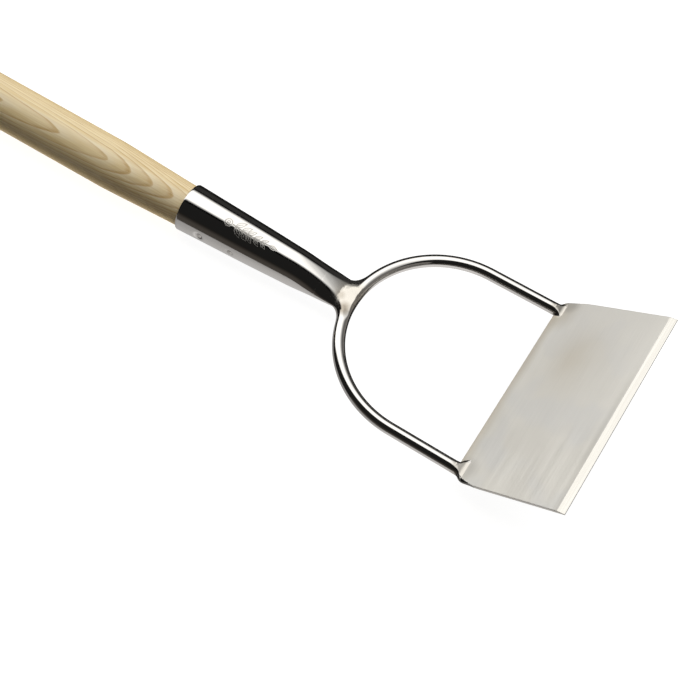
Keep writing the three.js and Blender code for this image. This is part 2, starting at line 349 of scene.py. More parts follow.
class Nodes:
    def __init__(self, tree):
        self.t = tree

    def put(self, socket, value):
        if hasattr(value, "is_output"):
            self.t.links.new(value, socket)
        elif value is not None:
            socket.default_value = value

    def math(self, op, a, b=None, c=None, clamp=False):
        n = self.t.nodes.new("ShaderNodeMath")
        n.operation = op
        n.use_clamp = clamp
        for k, v in enumerate((a, b, c)):
            if v is not None:
                self.put(n.inputs[k], v)
        return n.outputs[0]

    def xyz(self, v):
        n = self.t.nodes.new("ShaderNodeSeparateXYZ")
        self.put(n.inputs[0], v)
        return n.outputs

    def vec(self, x, y, z):
        n = self.t.nodes.new("ShaderNodeCombineXYZ")
        for k, v in enumerate((x, y, z)):
            self.put(n.inputs[k], v)
        return n.outputs[0]

    def coords(self):
        """object coordinates in millimetres, in the working frame"""
        c = self.t.nodes.new("ShaderNodeTexCoord")
        n = self.t.nodes.new("ShaderNodeMapping")
        n.vector_type = "POINT"
        self.put(n.inputs["Vector"], c.outputs["Object"])
        n.inputs["Scale"].default_value = (1000, 1000, 1000)
        n.inputs["Location"].default_value = (-X0, 0, -Z0)
        return n.outputs[0]

    def scale(self, v, sx, sy, sz, loc=(0, 0, 0), rot=(0, 0, 0)):
        n = self.t.nodes.new("ShaderNodeMapping")
        self.put(n.inputs["Vector"], v)
        n.inputs["Scale"].default_value = (sx, sy, sz)
        n.inputs["Location"].default_value = loc
        n.inputs["Rotation"].default_value = rot
        return n.outputs[0]

    def noise(self, v, scale, detail=2.0, rough=0.5, distortion=0.0, color=False):
        n = self.t.nodes.new("ShaderNodeTexNoise")
        self.put(n.inputs["Vector"], v)
        n.inputs["Scale"].default_value = scale
        n.inputs["Detail"].default_value = detail
        n.inputs["Roughness"].default_value = rough
        n.inputs["Distortion"].default_value = distortion
        return n.outputs["Color" if color else 0]

    def ramp(self, f, stops, interpolation="LINEAR"):
        n = self.t.nodes.new("ShaderNodeValToRGB")
        self.put(n.inputs[0], f)
        r = n.color_ramp
        r.interpolation = interpolation
        while len(r.elements) < len(stops):
            r.elements.new(0.5)
        for e, (p, c) in zip(r.elements, stops):
            e.position = p
            e.color = (*c, 1) if not isinstance(c, float) else (c, c, c, 1)
        return n.outputs[0]

    def map(self, f, a, b, c=0.0, d=1.0, smooth=False):
        n = self.t.nodes.new("ShaderNodeMapRange")
        if smooth:
            n.interpolation_type = "SMOOTHSTEP"
        self.put(n.inputs[0], f)
        for k, v in zip((1, 2, 3, 4), (a, b, c, d)):
            self.put(n.inputs[k], v)
        return n.outputs[0]

    def mix(self, f, a, b, kind="MIX"):
        n = self.t.nodes.new("ShaderNodeMix")
        n.data_type = "RGBA"
        n.blend_type = kind
        self.put(n.inputs[0], f)
        self.put(n.inputs[6], a if not isinstance(a, tuple) or len(a) == 4 else (*a, 1))
        self.put(n.inputs[7], b if not isinstance(b, tuple) or len(b) == 4 else (*b, 1))
        return n.outputs[2]

    def bump(self, height, strength, distance, normal=None):
        n = self.t.nodes.new("ShaderNodeBump")
        n.inputs["Strength"].default_value = strength
        n.inputs["Distance"].default_value = distance
        self.put(n.inputs["Height"], height)
        if normal is not None:
            self.put(n.inputs["Normal"], normal)
        return n.outputs[0]

    def attribute(self, name):
        n = self.t.nodes.new("ShaderNodeAttribute")
        n.attribute_name = name
        return n.outputs["Fac"]


def srgb(r, g, b):
    f = lambda c: c / 12.92 if c <= 0.04045 else ((c + 0.055) / 1.055) ** 2.4
    return tuple(f(v / 255) for v in (r, g, b))


def ash_wood():
    m, t, bsdf = new_material("ash_wood")
    n = Nodes(t)
    P = n.coords()
    x, y, z = n.xyz(P)
    # slow wander of the grain along the shaft
    wn = n.noise(n.scale(P, 0.0042, 0.010, 0.010), 1.0, 2.0, 0.5, color=True)
    wx, wy, wz = n.xyz(wn)
    fine = n.noise(n.scale(P, 0.020, 0.11, 0.11, loc=(3, 1, 7)), 1.0, 2.0, 0.55)
    # the pith runs under the shaft and slants towards it near the socket, so
    # the year rings come out as nested tongues that point to the socket
    L = n.math("MULTIPLY", n.math("ADD", x, 248.0), -0.028)
    L = n.math("ADD", L, n.math("MULTIPLY", n.math("MAXIMUM", n.math("ADD", x, 240.0), 0.0), 0.010))
    swell = n.math("SINE", n.math("MULTIPLY", n.math("ADD", x, 330.0), 2 * math.pi / 640.0))
    far = n.map(x, -330.0, -430.0, 0.0, 1.0, smooth=True)
    L = n.math("ADD", L, n.math("MULTIPLY", n.math("MULTIPLY", swell, far), 5.0))
    L = n.math("ADD", L, 36.0)
    cy, cz = -0.454, 0.891                      # from the pith towards the tongues
    py = n.math("MULTIPLY_ADD", L, -cy, n.math("MULTIPLY_ADD", wx, 2.4, -1.2))
    pz = n.math("MULTIPLY_ADD", L, -cz, n.math("MULTIPLY_ADD", wy, 2.4, -1.2))
    dy, dz = n.math("SUBTRACT", y, py), n.math("SUBTRACT", z, pz)
    dist = n.math("SQRT", n.math("ADD", n.math("MULTIPLY", dy, dy), n.math("MULTIPLY", dz, dz)))
    ring = n.math("ADD", n.math("DIVIDE", dist, 1.05), n.math("MULTIPLY", fine, 0.55))
    ring = n.math("ADD", ring, RING_PHASE)
    f = n.math("FRACT", ring)
    year = n.noise(n.vec(n.math("FLOOR", ring), 0.0, 0.0), 0.73, 0.0)      # each year differs a little
    # narrower where the shaft is parallel and the tongues are long
    early = n.ramp(n.math("MULTIPLY", f, n.map(x, -236.0, -246.0, 1.0, 1.8)), [(0.0, 0.0), (0.04, 0.60), (0.10, 1.0), (0.21, 0.78), (0.33, 0.28), (0.55, 0.04), (1.0, 0.0)])
    late = n.ramp(f, [(0.0, 0.9), (0.03, 0.0), (0.62, 0.0), (0.92, 0.9), (1.0, 0.9)])
    # the rings crowd together round the sides, where they read as fine lines
    early = n.math("MULTIPLY", early, n.map(year, 0.35, 0.65, 0.60, 1.15))
    # open pores: short dashes along the grain, mostly in the early wood
    pore = n.noise(n.scale(P, 0.12, 2.7, 2.7), 1.0, 2.0, 0.6)
    pore = n.map(pore, 0.58, 0.72, 0.0, 1.0)
    pore_e = n.math("MULTIPLY", pore, n.math("MULTIPLY_ADD", early, 0.8, 0.2))
    # fibres and broad streaks
    fibre = n.noise(n.scale(P, 0.030, 1.25, 1.25, loc=(9, 0, 0)), 1.0, 4.0, 0.6)
    streak = n.noise(n.scale(P, 0.0045, 0.20, 0.20, loc=(1, 5, 2)), 1.0, 2.0, 0.5)
    base = n.mix(n.map(streak, 0.35, 0.68), srgb(232, 211, 161), srgb(241, 226, 190))
    # more golden towards the far side
    base = n.mix(n.map(y, 3.0, 13.0, 0.0, 0.75, smooth=True), base, srgb(229, 203, 146))
    base = n.mix(n.math("MULTIPLY", late, 0.42), base, srgb(250, 241, 219))
    base = n.mix(n.math("MULTIPLY", early, 0.74), base, srgb(192, 153, 88))
    base = n.mix(n.math("MULTIPLY", n.map(fibre, 0.36, 0.70, 0.0, 1.0), 0.22), base, srgb(250, 238, 208))
    base = n.mix(n.math("MULTIPLY", n.map(fibre, 0.62, 0.30, 0.0, 1.0), 0.24), base, srgb(190, 152, 92))
    base = n.mix(n.math("MULTIPLY", pore_e, 0.40), base, srgb(136, 102, 56))
    # handling: faintly greyer and darker patches
    hand = n.noise(n.scale(P, 0.012, 0.03, 0.03, loc=(4, 4, 4)), 1.0, 3.0, 0.6)
    base = n.mix(n.map(hand, 0.56, 0.8, 0.0, 0.16), base, srgb(176, 148, 104))
    n.put(bsdf.inputs["Base Color"], base)
    rough = n.math("ADD", n.map(fibre, 0.3, 0.7, 0.50, 0.62), n.math("MULTIPLY", pore_e, 0.12))
    n.put(bsdf.inputs["Roughness"], rough)
    h = n.math("SUBTRACT", n.math("MULTIPLY", fibre, 0.35), n.math("ADD", pore_e, n.math("MULTIPLY", early, 0.35)))
    n.put(bsdf.inputs["Normal"], n.bump(h, 0.35, 0.00012))
    bsdf.inputs["Specular IOR Level"].default_value = 0.28
    bsdf.inputs["Coat Weight"].default_value = 0.04
    bsdf.inputs["Coat Roughness"].default_value = 0.34
    return m


RING_PHASE = 0.08


def polished_steel(name="polished_steel", etch=False, base=(0.74, 0.73, 0.715)):
    m, t, bsdf = new_material(name)
    n = Nodes(t)
    P = n.coords()
    # faint polishing lines, tiny scratches and a little haze
    lines = n.noise(n.scale(P, 2.4, 0.35, 0.35), 1.0, 3.0, 0.6)
    haze = n.noise(n.scale(P, 0.05, 0.09, 0.09, loc=(2, 3, 5)), 1.0, 3.0, 0.6)
    scratch = n.noise(n.scale(P, 0.3, 4.5, 4.5, rot=(0.2, 0.5, 0.3)), 1.0, 2.0, 0.7)
    scratch = n.map(scratch, 0.70, 0.80, 0.0, 1.0)
    rough = n.math("ADD", n.map(haze, 0.35, 0.75, 0.055, 0.115), n.math("MULTIPLY", lines, 0.03))
    rough = n.math("ADD", rough, n.math("MULTIPLY", scratch, 0.06))
    col = n.mix(n.map(haze, 0.4, 0.8, 0.0, 0.5), base, tuple(c * k for c, k in zip(base, (0.93, 0.915, 0.89))))
    # a trace of heat colour round the three welds
    x, y, z = n.xyz(P)
    tinted = []
    for cx, cy_, r0, r1 in ((-66.0, 0.0, 6.0, 15.0), (47.5, YOKE_R + 0.6, 4.0, 8.5)):
        ddx = n.math("SUBTRACT", x, cx)
        ddy = n.math("SUBTRACT", n.math("ABSOLUTE", y), cy_)
        dd = n.math("SQRT", n.math("ADD", n.math("MULTIPLY", ddx, ddx), n.math("MULTIPLY", ddy, ddy)))
        tinted.append(n.map(n.math("ADD", dd, n.math("MULTIPLY_ADD", haze, 6.0, -3.0)), r0, r1, 1.0, 0.0, smooth=True))
    col = n.mix(n.math("MULTIPLY", tinted[0], 0.9), col, (0.665, 0.63, 0.57))
    col = n.mix(n.math("MULTIPLY", tinted[1], 0.9), col, (0.545, 0.52, 0.475))
    # straw colour left on the near side of the neck's flat
    for cx, cy_, r0, r1, amount in ((-64.9, -11.0, 1.5, 6.5, 0.80), (-71.5, -3.8, 1.0, 4.5, 0.40)):
        ddx, ddy = n.math("SUBTRACT", x, cx), n.math("SUBTRACT", y, cy_)
        dd = n.math("SQRT", n.math("ADD", n.math("MULTIPLY", ddx, ddx), n.math("MULTIPLY", ddy, ddy)))
        straw = n.map(n.math("ADD", dd, n.math("MULTIPLY_ADD", haze, 3.0, -1.5)), r0, r1, 1.0, 0.0, smooth=True)
        col = n.mix(n.math("MULTIPLY", straw, amount), col, (0.300, 0.255, 0.195))
    # the ground weld metal is less bright than the drawn steel
    rough = n.math("ADD", rough, n.math("MULTIPLY_ADD", tinted[0], 0.15, n.math("MULTIPLY", tinted[1], 0.09)))
    # painted shade: darker still near the bottom of the blade's two dressed corners, under the blade's top face
    u = n.math("ADD", n.math("MULTIPLY", n.math("SUBTRACT", x, ARM_L), math.cos(TILT)),
               n.math("MULTIPLY", n.math("SUBTRACT", z, BACK_Z), math.sin(TILT)))
    w = n.math("SUBTRACT", n.math("MULTIPLY", n.math("SUBTRACT", z, BACK_Z), math.cos(TILT)),
               n.math("MULTIPLY", n.math("SUBTRACT", x, ARM_L), math.sin(TILT)))
    corner_shade = n.math("MULTIPLY", n.map(w, -0.15, -0.8, 0.0, 1.0, smooth=True), n.map(u, -1.5, 0.5, 0.0, 1.0, smooth=True))
    corner_shade = n.math("MULTIPLY", corner_shade, n.map(n.math("ABSOLUTE", y), BACK_W / 2 - 5.0, BACK_W / 2 - 3.2, 0.0, 1.0, smooth=True))
    col = n.mix(n.math("MULTIPLY", corner_shade, 0.85), col, (0.15, 0.14, 0.125))
    h = n.math("SUBTRACT", n.math("MULTIPLY", lines, 0.5), scratch)
    normal = n.bump(h, 0.05, 0.00004)
    if etch:
        e = n.attribute("etch")
        rough = n.math("MAXIMUM", rough, n.math("MULTIPLY", e, 0.50))
        grain = n.noise(P, 6.0, 2.0, 0.6)
        col = n.mix(n.math("MULTIPLY", e, 0.9), col, (0.50, 0.485, 0.455))
        normal = n.bump(n.math("MULTIPLY", e, n.math("MULTIPLY_ADD", grain, 0.6, -1.0)), 0.5, 0.00008, normal)
        # painted shade: a darker crescent round each rivet's dimple
        rivet_shade = n.attribute("seat_shade")
        col = n.mix(n.math("MULTIPLY", rivet_shade, 0.9), col, (0.06, 0.055, 0.05))
    n.put(bsdf.inputs["Base Color"], col)
    n.put(bsdf.inputs["Roughness"], rough)
    n.put(bsdf.inputs["Normal"], normal)
    bsdf.inputs["Metallic"].default_value = 1.0
    return m


def satin_steel():
    m, t, bsdf = new_material("satin_steel")
    n = Nodes(t)
    P = n.coords()
    x, y, z = n.xyz(P)
    # u runs along the blade from its back edge
    u = n.math("ADD", n.math("MULTIPLY", n.math("SUBTRACT", x, ARM_L), math.cos(TILT)),
               n.math("MULTIPLY", n.math("SUBTRACT", z, BACK_Z), math.sin(TILT)))
    w = n.math("SUBTRACT", n.math("MULTIPLY", n.math("SUBTRACT", z, BACK_Z), math.cos(TILT)),
               n.math("MULTIPLY", n.math("SUBTRACT", x, ARM_L), math.sin(TILT)))
    Q = n.vec(u, y, w)
    brush = n.noise(n.scale(Q, 3.2, 0.03, 1.0), 1.0, 3.0, 0.65)
    brush2 = n.noise(n.scale(Q, 0.9, 0.012, 1.0, loc=(5, 2, 0)), 1.0, 2.0, 0.5)
    cloud = n.noise(n.scale(Q, 0.030, 0.022, 0.5, loc=(1.4, 3.2, 0)), 1.0, 2.0, 0.5)
    cloud2 = n.noise(n.scale(Q, 0.045, 0.035, 0.5, loc=(7.7, 1.9, 0)), 1.0, 1.0, 0.5)
    # tints: a slightly warm and a slightly cool grey
    col = n.mix(n.map(cloud, 0.38, 0.62, smooth=True), (0.765, 0.748, 0.702), (0.805, 0.788, 0.740))
    col = n.mix(n.math("MULTIPLY", n.map(cloud2, 0.46, 0.66, smooth=True), 0.50), col, (0.715, 0.718, 0.716))
    # painted sheen: a little brighter towards the far side, most of all next to the bevel
    col = n.mix(n.map(y, -35.0, 66.0, 0.0, 0.62), col, (0.92, 0.905, 0.865))
    bevel_sheen = n.math("MULTIPLY", n.map(u, 60.0, 73.0, 0.0, 1.0, smooth=True), n.map(y, -10.0, 60.0, 0.0, 1.0, smooth=True))
    col = n.mix(n.math("MULTIPLY", bevel_sheen, 0.55), col, (0.93, 0.915, 0.86))
    # one warm stain on the far half and a heat tint along the back edge
    su, sv = n.math("SUBTRACT", u, 31.0), n.math("SUBTRACT", y, 29.0)
    d2 = n.math("ADD", n.math("MULTIPLY", n.math("MULTIPLY", su, su), 1 / 190.0), n.math("MULTIPLY", n.math("MULTIPLY", sv, sv), 1 / 420.0))
    stain = n.math("MULTIPLY", n.math("POWER", 2.718, n.math("MULTIPLY", d2, -1.0)), n.map(cloud2, 0.2, 0.6, 0.5, 1.0))
    col = n.mix(n.math("MULTIPLY", stain, 0.55), col, (0.66, 0.60, 0.49))
    heat = n.map(n.math("ADD", u, n.math("MULTIPLY", cloud2, 3.0)), 1.2, 8.6, 1.0, 0.0, smooth=True)
    col = n.mix(n.math("MULTIPLY", heat, 0.56), col, (0.58, 0.52, 0.42))
    # straw colour round the far corner's weld
    ru, rv = n.math("SUBTRACT", u, 4.0), n.math("SUBTRACT", y, 63.0)
    rd = n.math("SQRT", n.math("ADD", n.math("MULTIPLY", ru, ru), n.math("MULTIPLY", n.math("MULTIPLY", rv, rv), 0.55)))
    warm = n.map(n.math("ADD", rd, n.math("MULTIPLY_ADD", cloud2, 6.0, -3.0)), 2.0, 15.0, 1.0, 0.0, smooth=True)
    col = n.mix(n.math("MULTIPLY", warm, 0.42), col, (0.56, 0.495, 0.385))
    # painted shade: darker steel close to the two corner welds
    for cu, cy_, r0, r1, amount in ((6.4, 70.5, 3.0, 9.5, 0.50), (6.0, -64.0, 3.0, 11.0, 0.30)):
        hu, hv = n.math("SUBTRACT", u, cu), n.math("SUBTRACT", y, cy_)
        hd = n.math("SQRT", n.math("ADD", n.math("MULTIPLY", hu, hu), n.math("MULTIPLY", hv, hv)))
        weld_shade = n.map(n.math("ADD", hd, n.math("MULTIPLY_ADD", cloud2, 4.0, -2.0)), r0, r1, 1.0, 0.0, smooth=True)
        col = n.mix(n.math("MULTIPLY", weld_shade, amount), col, (0.39, 0.375, 0.345))
    # near the cutting edge a painted shade strip, a darker band standing in for a dim reflection, then the ground bevel
    strip = n.math("MULTIPLY", n.map(u, 68.6, 72.4, 0.0, 1.0, smooth=True), n.map(u, 73.1, 73.4, 1.0, 0.0))
    strip = n.math("MULTIPLY", strip, n.map(y, 62.0, -30.0, 0.0, 1.0, smooth=True))
    upper = n.map(w, -1.95, -1.75, 0.0, 1.0)          # none of it on the underside
    strip = n.math("MULTIPLY", strip, upper)
    bevel = n.math("MULTIPLY", n.map(u, 73.25, 73.35, 0.0, 1.0), upper)
    col = n.mix(n.math("MULTIPLY", strip, 0.34), col, (0.46, 0.445, 0.41))
    grind = n.noise(n.scale(Q, 2.6, 0.02, 1.0, loc=(0, 8, 0)), 1.0, 2.0, 0.6)
    col = n.mix(bevel, col, n.mix(n.map(grind, 0.35, 0.65), (0.66, 0.645, 0.60), (0.72, 0.705, 0.67)))
    # painted shade: a dark line along the very cutting edge
    lip = n.map(u, 77.86, 77.95, 0.0, 1.0)
    col = n.mix(n.math("MULTIPLY", lip, 0.55), col, (0.34, 0.33, 0.31))
    # faint brush lines in colour
    col = n.mix(n.math("MULTIPLY", n.map(brush, 0.3, 0.7), 0.08), col, (0.40, 0.39, 0.37))
    # painted shade: a darker rim along the side edges
    half = n.math("MULTIPLY_ADD", u, (FRONT_W - BACK_W) / 2 / BLADE_L, BACK_W / 2)
    rim = n.map(n.math("SUBTRACT", half, n.math("ABSOLUTE", y)), 0.0, 0.9, 1.0, 0.0, smooth=True)
    col = n.mix(n.math("MULTIPLY", rim, 0.30), col, (0.42, 0.405, 0.375))
    n.put(bsdf.inputs["Base Color"], col)
    rough = n.math("ADD", n.map(brush2, 0.3, 0.7, 0.36, 0.46), n.math("MULTIPLY", brush, 0.05))
    rough = n.math("SUBTRACT", rough, n.math("MULTIPLY", bevel, 0.16))
    n.put(bsdf.inputs["Roughness"], rough)
    h = n.math("ADD", brush, n.math("MULTIPLY", brush2, 0.6))
    n.put(bsdf.inputs["Normal"], n.bump(h, 0.15, 0.00004))
    bsdf.inputs["Metallic"].default_value = 1.0
    return m


MAT_WOOD = ash_wood()
MAT_POL = polished_steel()
MAT_SOCKET = polished_steel("polished_steel_socket", etch=True)
MAT_RIVET = polished_steel("rivet_steel", base=(0.60, 0.585, 0.56))
MAT_SATIN = satin_steel()


def finish(o, mat, slot, *nodes):
    o.data.materials.clear()
    o.data.materials.append(mat)
    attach(o, "root")
    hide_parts(*nodes)
    return o


# ---------------------------------------------------------------------- shaft
def build_shaft():
    R, BR = 16.25, 9.0
    prof = []
    flat = R - BR
    for r in np.linspace(0.6, flat, 7):
        prof.append((BUTT, r))
    for a in np.linspace(0, math.pi / 2, 18)[1:]:
        prof.append((BUTT + BR * (1 - math.cos(a)), flat + BR * math.sin(a)))
    x1 = MOUTH - 57.0
    for x in np.linspace(BUTT + BR, x1, 170)[1:]:
        prof.append((x, R))
    for t in np.linspace(0, 1, 24)[1:]:
        # the taper starts softly and runs into the socket
        e = t + 0.10 * math.sin(math.pi * t) * 0
        soft = (t * t * (3 - 2 * t)) * 0.15 + t * 0.85
        prof.append((x1 + 57.0 * t, R + (13.9 - R) * soft))
    for s in np.linspace(0, 77, 24)[1:]:
        prof.append((MOUTH + s, socket_ry(s) - 1.8))
    prof.append((MOUTH + 79, socket_ry(79.0) - 3.3))
    for r in (6.0, 3.0, 0.6):
        prof.append((MOUTH + 79, r))
    ns = 96
    ang = np.arange(ns) / ns * 2 * math.pi
    V = []
    for x, r in prof:
        V.append(np.stack([np.full(ns, x), r * np.cos(ang), r * np.sin(ang)], 1))
    o = mesh_object("shaft_piece", np.concatenate(V), rings_to_faces(len(prof), ns))
    outward(o)
    sharp_by_angle(o, 40)
    return finish(o, MAT_WOOD, "ash_wood", "shaft")


# --------------------------------------------------------------------- socket
RIVETS = [17.0, 39.4]
NECK_CUT = 98.0          # from here on the neck piece takes over


def segment(P, a, b):
    a, b = np.array(a, float), np.array(b, float)
    d = b - a
    t = np.clip(((P - a) @ d) / (d @ d), 0, 1)
    return np.linalg.norm(P - a - d * t[:, None], axis=1)


def polyline(P, pts):
    return np.min([segment(P, pts[i], pts[i + 1]) for i in range(len(pts) - 1)], axis=0)


def leaf(P, base, angle, length, width):
    """outline of a pointed leaf and its midrib"""
    c, s = math.cos(angle), math.sin(angle)
    Q = P - np.array(base)
    q = np.stack([Q[:, 0] * c + Q[:, 1] * s, -Q[:, 0] * s + Q[:, 1] * c], 1)
    t = np.linspace(0, 1, 14)
    up = np.stack([t * length, width * np.sin(np.pi * t ** 0.85)], 1)
    dn = up * np.array([1, -1])
    return np.minimum(np.minimum(polyline(q, up), polyline(q, dn)), polyline(q, [(0.12 * length, 0), (0.62 * length, 0)]))


def sprig(P):
    """a plain sprig of leaves: P is [distance along, distance across] in mm"""
    t = np.linspace(0, 1, 28)
    stem = np.stack([3.6 + 26.5 * t, 1.3 * np.sin(2.6 * t + 0.2) - 0.7], 1)
    d = polyline(P, stem) - 0.34
    for k, f in enumerate((0.08, 0.26, 0.44, 0.62, 0.80)):
        b = stem[int(f * 27)]
        for sgn in (1, -1):
            big = 7.6 - 3.2 * f
            d = np.minimum(d, leaf(P, b, sgn * (0.80 - 0.22 * f), big, 0.20 * big) - 0.27)
    d = np.minimum(d, leaf(P, stem[-1], 0.05, 5.2, 1.1) - 0.27)
    ring = np.linalg.norm(P - np.array([0.4, -0.5]), axis=1)
    d = np.minimum(d, np.abs(ring - 2.3) - 0.30)
    return np.minimum(d, np.abs(ring - 0.9) - 0.28)


def build_socket():
    wall = 1.5
    # fine where the mark and the rivets are
    s_out = np.concatenate([np.arange(0.55, 10, 0.9), np.arange(10, 24, 0.33), np.arange(24, 29.5, 0.45), np.arange(29.5, 67, 0.24),
                            np.arange(67, NECK_CUT + 0.9, 0.8), [NECK_CUT + 1.1]])
    a1 = np.radians(np.arange(-14, 42, 1.05))          # across the mark, from +Z towards -Y
    a2 = np.radians(np.arange(42, 70, 2.0))
    a3 = np.radians(np.arange(70, 112, 1.3))
    a4 = np.radians(np.arange(112, 346, 2.4))
    ang = np.concatenate([a1, a2, a3, a4])
    ns = len(ang)
    rings, etch, seat_shade = [], [], []

    def add(s, r_off=0.0, inner=False):
        c, sn = np.cos(ang), np.sin(ang)
        near, far = np.full(ns, 1.0), np.full(ns, 20.0)
        for _ in range(34):
            mid = (near + far) / 2
            inside = section(-mid * sn, mid * c, s) - r_off < 0
            near, far = np.where(inside, mid, near), np.where(inside, far, mid)
        y, z = -near * sn, near * c
        x = np.full(ns, MOUTH + s)
        e = np.zeros(ns)
        q = np.zeros(ns)
        if not inner and r_off > -0.2:
            r0 = 14.0
            P = np.stack([np.full(ns, s - 31.5), (ang - math.radians(14)) * r0], 1)
            P[:, 1] = (np.mod(ang + math.pi, 2 * math.pi) - math.pi - math.radians(15)) * r0
            d = sprig(P)
            e = np.clip(0.5 - d / 0.28, 0, 1)
            for i, rs in enumerate(RIVETS):
                for side in (math.pi / 2, 3 * math.pi / 2):
                    dd = np.hypot(s - rs, (ang - side) * 15.0)
                    depth = (0.85 if i == 0 else 0.10) * np.exp(-(dd / (2.75 if i == 0 else 2.5)) ** 4)
                    y = y - np.sign(y) * depth * np.abs(sn)
                    z = z - np.sign(z) * depth * np.abs(c)
                    # painted shade in each rivet's dimple: a darker crescent, wider and deeper on one side
                    turn = np.arctan2((ang - side) * 15.0, s - rs)
                    wide = 0.30 + 0.40 * np.clip(np.cos(turn - 0.3), 0, 1)
                    rivet_shade = 0.35 + 0.65 * np.clip(0.35 + np.cos(turn - 0.3), 0, 1)
                    q = np.maximum(q, np.clip(1.3 - np.abs(dd - 2.3) / wide, 0, 1) * rivet_shade * (1.0 if i == 0 else 0.30))
        rings.append(np.stack([x, y, z], 1))
        etch.append(e)
        seat_shade.append(q)

    # from the inside of the cavity out over the mouth's rim to the neck
    for s in (86, 70, 50, 30, 15, 4, 1.0):
        add(s, -wall, True)
    add(0.45, -wall + 0.02, True)
    add(0.12, -wall + 0.25, True)
    add(0.0, -wall + 0.55, True)
    add(0.0, -0.50, True)
    add(0.12, -0.22, True)
    for s in s_out:
        add(s)
    add(NECK_CUT + 1.16, -0.08, True)
    add(NECK_CUT + 2.4, -0.6, True)
    V = np.concatenate(rings)
    o = mesh_object("socket_piece", V, rings_to_faces(len(rings), ns))
    outward(o)
    for name, data in (("etch", etch), ("seat_shade", seat_shade)):
        at_ = o.data.attributes.new(name, "FLOAT", "POINT")
        at_.data.foreach_set("value", np.concatenate(data).astype(np.float32))
    sharp_by_angle(o, 35)
    return finish(o, MAT_SOCKET, "polished_steel", "socket")


def build_rivet(i, node):
    s = RIVETS[i]
    r = float(socket_ry(s))
    R = 2.0
    proud = -0.68 if i == 0 else -0.06
    V, ns = [], 48
    ang = np.arange(ns) / ns * 2 * math.pi
    prof = []
    H = r + proud
    for q in (0.15, 0.5, 0.9, 1.25, 1.55, 1.78, 1.93, 2.0):
        prof.append((q * R / 2.0, H + 0.16 - 0.30 * (q / 2.0) ** 4))
    prof.append((R, H - 0.5))
    half = prof
    full = [(rr, -h) for rr, h in half] + [(rr, h) for rr, h in reversed(half)]
    for rr, h in full:
        V.append(np.stack([MOUTH + s + rr * np.cos(ang), np.full(ns, h), rr * np.sin(ang)], 1))
    o = mesh_object(node + "_piece", np.concatenate(V), rings_to_faces(len(full), ns))
    outward(o)
    sharp_by_angle(o, 50)
    return finish(o, MAT_RIVET, "rivet_steel", node)


# ---------------------------------------------------------------- stirrup bar
NECK_ANGLE = math.radians(23.5)     # the neck piece reaches this far round the arc each way
WELD_X0 = 37.0                      # the corner pieces start here


def build_bar():
    import itertools
    half = bar_line()
    keep = half[(half[:, 0] < WELD_X0 + 1.0)]
    # each half: from the neck cut to the corner piece
    pts = []
    for sgn in (1, -1):
        a = np.arctan2(keep[:, 1], -keep[:, 0])
        h = keep[(a > NECK_ANGLE - 1.0 / YOKE_R) | (keep[:, 0] > 0)]
        lap = NECK_ANGLE - 1.1 / YOKE_R
        start = np.array([[-YOKE_R * math.cos(lap), YOKE_R * math.sin(lap), 0]])
        y_end = _arm0[1] + math.tan(FLARE) * (WELD_X0 + 1.1 - _arm0[0])
        end = np.array([[WELD_X0 + 1.1, y_end, 0]])
        line = np.concatenate([start, h, end])
        pts.append(line * np.array([1, sgn, 1]))
    V, F, off = [], [], 0
    ns = 40
    for line in pts:
        T = np.gradient(line, axis=0)
        T /= np.linalg.norm(T, axis=1)[:, None]
        rings = []
        up_ = np.array([0, 0, 1.0])
        # a thinner stub at each end runs into the neighbouring piece
        lead0 = [(line[0] - T[0] * 1.6, T[0], BAR_R - 0.5), (line[0] - T[0] * 0.06, T[0], BAR_R - 0.08)]
        lead1 = [(line[-1] + T[-1] * 0.06, T[-1], BAR_R - 0.08), (line[-1] + T[-1] * 1.6, T[-1], BAR_R - 0.5)]
        body = [(line[i], T[i], BAR_R) for i in range(len(line))]
        for p, tt, r in itertools.chain(lead0, body, lead1):
            side = np.cross(up_, tt)
            side /= np.linalg.norm(side)
            a = np.arange(ns) / ns * 2 * math.pi
            rings.append(p + r * (np.cos(a)[:, None] * side + np.sin(a)[:, None] * up_))
        F += [tuple(i + off for i in f) for f in rings_to_faces(len(rings), ns)]
        V += rings
        off += len(rings) * ns
    o = mesh_object("stirrup_bar_piece", np.concatenate(V), F)
    outward(o)
    sharp_by_angle(o, 35)
    return finish(o, MAT_POL, "polished_steel", "stirrup_bar")


